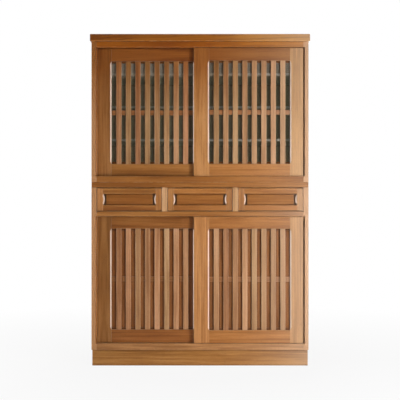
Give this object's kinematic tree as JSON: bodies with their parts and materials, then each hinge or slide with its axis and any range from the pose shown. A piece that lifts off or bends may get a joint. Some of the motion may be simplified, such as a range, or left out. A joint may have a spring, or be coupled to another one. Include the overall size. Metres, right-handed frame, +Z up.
{
  "type": "kitchen cupboard",
  "caption": "Tall two-part wooden kitchen cupboard with latticed sliding doors above and below a row of drawers with finger pulls.",
  "frame": {"origin": "on the floor under the middle of the top board", "axes": "+X to the right seen from the front, front faces -Y, +Z up"},
  "size_m": [1.2, 0.45, 1.81],
  "materials": {
    "upright_wood": "satin lacquer, grain upright",
    "cross_grain_wood": "satin lacquer, grain across",
    "slat_wood": "satin lacquer, grain upright",
    "pane_wood": "satin lacquer, grain upright",
    "inside_board": "satin veneer",
    "plain_drawer_wood": "plain pale wood",
    "back_plywood": "matt plywood",
    "shelf_pin_metal": "plain steel",
    "dark_glass": "clear, smooth"
  },
  "bodies": {
    "case": {"plinth_front": "cross_grain_wood", "plinth_back": "cross_grain_wood", "plinth_ends": "cross_grain_wood", "lower_side_left": "upright_wood", "lower_side_right": "upright_wood", "upper_side_left": "upright_wood", "upper_side_right": "upright_wood", "lower_sill_rail": "cross_grain_wood", "lower_head_rail": "cross_grain_wood", "upper_sill_rail": "cross_grain_wood", "upper_head_rail": "cross_grain_wood", "lower_floor_board": "inside_board", "upper_floor_board": "inside_board", "drawer_deck": "inside_board", "lower_top_board": "cross_grain_wood", "top_board": "cross_grain_wood", "lower_back_panel": "back_plywood", "upper_back_panel": "back_plywood", "lower_shelf": "inside_board", "upper_shelf_low": "inside_board", "upper_shelf_middle": "inside_board", "upper_shelf_high": "inside_board", "drawer_posts": "upright_wood", "drawer_partitions": "inside_board", "drawer_guides": "plain_drawer_wood", "shelf_pins": "shelf_pin_metal", "stacking_dowels": "plain_drawer_wood"},
    "upper_left_door": {"upper_left_door_stiles": "upright_wood", "upper_left_door_rails": "cross_grain_wood", "upper_left_door_slats": "slat_wood", "upper_left_door_cross_bar": "cross_grain_wood", "upper_left_door_pane": "dark_glass"},
    "upper_right_door": {"upper_right_door_stiles": "upright_wood", "upper_right_door_rails": "cross_grain_wood", "upper_right_door_slats": "slat_wood", "upper_right_door_cross_bar": "cross_grain_wood", "upper_right_door_pane": "dark_glass"},
    "lower_left_door": {"lower_left_door_stiles": "upright_wood", "lower_left_door_rails": "cross_grain_wood", "lower_left_door_slats": "slat_wood", "lower_left_door_cross_bar": "cross_grain_wood", "lower_left_door_pane": "pane_wood"},
    "lower_right_door": {"lower_right_door_stiles": "upright_wood", "lower_right_door_rails": "cross_grain_wood", "lower_right_door_slats": "slat_wood", "lower_right_door_cross_bar": "cross_grain_wood", "lower_right_door_pane": "pane_wood"},
    "left_drawer": {"left_drawer_front_stiles": "upright_wood", "left_drawer_front_rails": "cross_grain_wood", "left_drawer_front_panel": "cross_grain_wood", "left_drawer_box": "plain_drawer_wood"},
    "middle_drawer": {"middle_drawer_front_stiles": "upright_wood", "middle_drawer_front_rails": "cross_grain_wood", "middle_drawer_front_panel": "cross_grain_wood", "middle_drawer_box": "plain_drawer_wood"},
    "right_drawer": {"right_drawer_front_stiles": "upright_wood", "right_drawer_front_rails": "cross_grain_wood", "right_drawer_front_panel": "cross_grain_wood", "right_drawer_box": "plain_drawer_wood"}
  },
  "joints": [
    {"name": "upper_left_door_slide", "type": "slide", "parent": "case", "child": "upper_left_door", "axis": [1, 0, 0], "range_m": [0, 0.531]},
    {"name": "upper_right_door_slide", "type": "slide", "parent": "case", "child": "upper_right_door", "axis": [1, 0, 0], "range_m": [-0.538, 0.0075]},
    {"name": "lower_left_door_slide", "type": "slide", "parent": "case", "child": "lower_left_door", "axis": [1, 0, 0], "range_m": [0, 0.531]},
    {"name": "lower_right_door_slide", "type": "slide", "parent": "case", "child": "lower_right_door", "axis": [1, 0, 0], "range_m": [-0.538, 0.0075]},
    {"name": "left_drawer_slide", "type": "slide", "parent": "case", "child": "left_drawer", "axis": [0, -1, 0], "range_m": [0, 0.3]},
    {"name": "middle_drawer_slide", "type": "slide", "parent": "case", "child": "middle_drawer", "axis": [0, -1, 0], "range_m": [0, 0.3]},
    {"name": "right_drawer_slide", "type": "slide", "parent": "case", "child": "right_drawer", "axis": [0, -1, 0], "range_m": [0, 0.3]}
  ]
}
